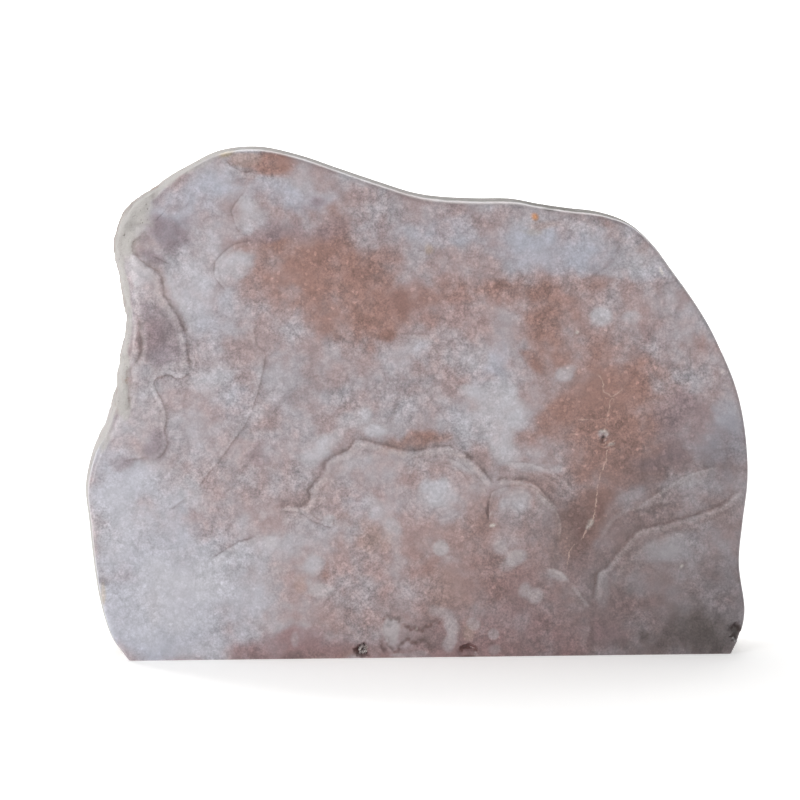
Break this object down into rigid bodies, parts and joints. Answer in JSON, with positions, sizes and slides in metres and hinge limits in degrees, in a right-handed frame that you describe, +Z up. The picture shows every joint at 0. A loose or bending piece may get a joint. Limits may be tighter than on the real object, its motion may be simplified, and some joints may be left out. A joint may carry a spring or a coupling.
{
  "type": "rose quartz slab",
  "caption": "Freeform slab of banded pink quartz with a polished face, rounded rims, natural rind and a flat sawn base to stand on.",
  "frame": {"origin": "middle of the bounding box in plan, on the sawn base the slab stands on", "axes": "+X along the slab's length, with the high end at -X; +Y from the polished front to the natural back; +Z up, square to the sawn base"},
  "size_m": [0.1986, 0.0432, 0.1514],
  "materials": {
    "pink_quartz": "polished front and rims, satin sawn base, rough natural back"
  },
  "bodies": {
    "root": {"rose_quartz": "pink_quartz"}
  },
  "joints": []
}
